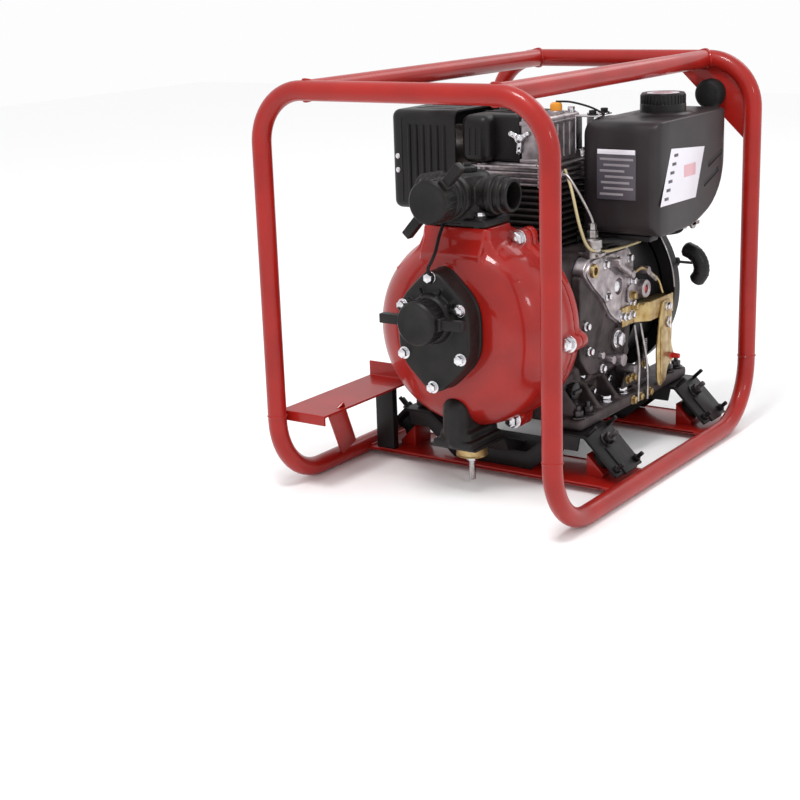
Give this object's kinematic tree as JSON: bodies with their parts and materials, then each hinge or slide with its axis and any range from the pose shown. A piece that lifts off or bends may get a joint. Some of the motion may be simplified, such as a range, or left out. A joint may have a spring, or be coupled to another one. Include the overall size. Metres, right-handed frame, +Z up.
{
  "type": "portable fire pump",
  "caption": "Portable diesel fire pump: a centrifugal pump with hose outlets on a single-cylinder engine, rubber-mounted in an open tube frame that also carries it.",
  "frame": {"origin": "on the floor, under the middle of the tube frame", "axes": "-Y is the suction side at the front, +Y the starter side at the rear, +X the fuel tank side, +Z up; the crankshaft lies along Y"},
  "size_m": [0.488, 0.668, 0.5997],
  "materials": {
    "red_painted_steel": "gloss",
    "red_painted_casting": "gloss",
    "black_painted_steel": "satin",
    "black_plastic": "satin",
    "black_rubber": "matte",
    "grey_casting": "matte",
    "dark_aluminium_casting": "matte",
    "bright_aluminium_casting": "satin",
    "steel": "satin",
    "chrome": "polished",
    "zinc_yellow": "satin",
    "bronze": "satin"
  },
  "bodies": {
    "framed_unit": {"air_cleaner": "black_plastic", "battery_tray": "red_painted_steel", "blower_shroud": "black_painted_steel", "cap_tether": "black_rubber", "crankcase": "dark_aluminium_casting", "cylinder_barrel": "grey_casting", "cylinder_head": "bright_aluminium_casting", "discharge_manifold": "black_painted_steel", "front_bearing": "steel", "front_cross_plate": "red_painted_steel", "front_hoop": "red_painted_steel", "front_mount_beam": "black_painted_steel", "fuel_tank": "black_plastic", "gear_cover": "bright_aluminium_casting", "head_cowl": "black_painted_steel", "injection_pipe": "steel", "injection_pump": "steel", "key_gusset": "red_painted_steel", "key_switch": "black_rubber", "left_runner": "red_painted_steel", "left_top_rail": "red_painted_steel", "muffler_barrel": "steel", "muffler_guard": "black_painted_steel", "pump_back_plate": "red_painted_casting", "pump_foot": "black_painted_steel", "pump_foot_bolt": "chrome", "pump_foot_cup": "zinc_yellow", "pump_support_arm": "black_painted_steel", "pump_volute": "red_painted_casting", "rear_bearing": "steel", "rear_cross_plate": "red_painted_steel", "rear_hoop": "red_painted_steel", "rear_mount_beam": "black_painted_steel", "recoil_cover": "black_painted_steel", "right_runner": "red_painted_steel", "right_top_rail": "red_painted_steel", "rocker_cover": "bright_aluminium_casting", "rubber_mount_front_left": "black_rubber", "rubber_mount_front_right": "black_rubber", "rubber_mount_rear_left": "black_rubber", "rubber_mount_rear_right": "black_rubber", "shaft_seal": "black_rubber", "speed_bracket": "zinc_yellow", "suction_flange": "black_painted_steel", "tray_leg": "black_painted_steel"},
    "crank_assembly": {"crankshaft": "steel", "flywheel": "grey_casting", "impeller": "bronze"},
    "piston": {"piston": "bright_aluminium_casting"},
    "starter_grip": {"starter_handle": "black_plastic", "starter_rope": "black_rubber"},
    "rope_pulley": {"recoil_pulley": "black_plastic"},
    "speed_control_lever": {"speed_lever": "zinc_yellow"},
    "decompression_lever": {"decompression_lever": "chrome"},
    "key": {"ignition_key": "steel"},
    "fuel_cap": {"fuel_cap": "black_plastic"},
    "suction_cap": {"suction_cap": "black_painted_steel"},
    "discharge_cap": {"discharge_cap": "black_painted_steel"},
    "priming_plug": {"priming_plug": "black_plastic"},
    "oil_plug": {"oil_filler_plug": "black_plastic"}
  },
  "joints": [
    {"name": "crankshaft_spin", "type": "hinge", "parent": "framed_unit", "child": "crank_assembly", "pos_m": [0, 0, 0.235], "axis": [0, 1, 0], "continuous": true},
    {"name": "piston_slide", "type": "slide", "parent": "framed_unit", "child": "piston", "axis": [0, 0, 1], "range_m": [0, 0.07]},
    {"name": "starter_pull", "type": "slide", "parent": "framed_unit", "child": "starter_grip", "axis": [1, 0, 0], "range_m": [0, 0.15], "stiffness_N_per_m": 60},
    {"name": "recoil_pulley_spin", "type": "hinge", "parent": "framed_unit", "child": "rope_pulley", "pos_m": [0, 0.242, 0.235], "axis": [0, 1, 0], "range_deg": [0, 220]},
    {"name": "speed_lever_turn", "type": "hinge", "parent": "framed_unit", "child": "speed_control_lever", "pos_m": [0.1508, 0.185, 0.216], "axis": [1, 0, 0], "range_deg": [0, 35]},
    {"name": "decompression_lever_turn", "type": "hinge", "parent": "framed_unit", "child": "decompression_lever", "pos_m": [0.012, -0.0235, 0.494], "axis": [0, 1, 0], "range_deg": [0, 50]},
    {"name": "ignition_key_turn", "type": "hinge", "parent": "framed_unit", "child": "key", "pos_m": [0.163, 0.32, 0.533], "axis": [0, 1, 0], "range_deg": [0, 90]},
    {"name": "fuel_cap_lift", "type": "slide", "parent": "framed_unit", "child": "fuel_cap", "axis": [0, 0, 1], "range_m": [0, 0.024]},
    {"name": "suction_cap_off", "type": "slide", "parent": "framed_unit", "child": "suction_cap", "axis": [0, -1, 0], "range_m": [0, 0.06]},
    {"name": "discharge_cap_off", "type": "slide", "parent": "framed_unit", "child": "discharge_cap", "axis": [0, -1, 0], "range_m": [0, 0.05]},
    {"name": "priming_plug_lift", "type": "slide", "parent": "framed_unit", "child": "priming_plug", "axis": [0, 0, 1], "range_m": [0, 0.04]},
    {"name": "oil_filler_plug_out", "type": "slide", "parent": "framed_unit", "child": "oil_plug", "axis": [1, 0, 0], "range_m": [0, 0.05]}
  ],
  "couplings": [
    {"joint": "recoil_pulley_spin", "follows": "starter_pull", "rad_per_m": 24.69}
  ]
}
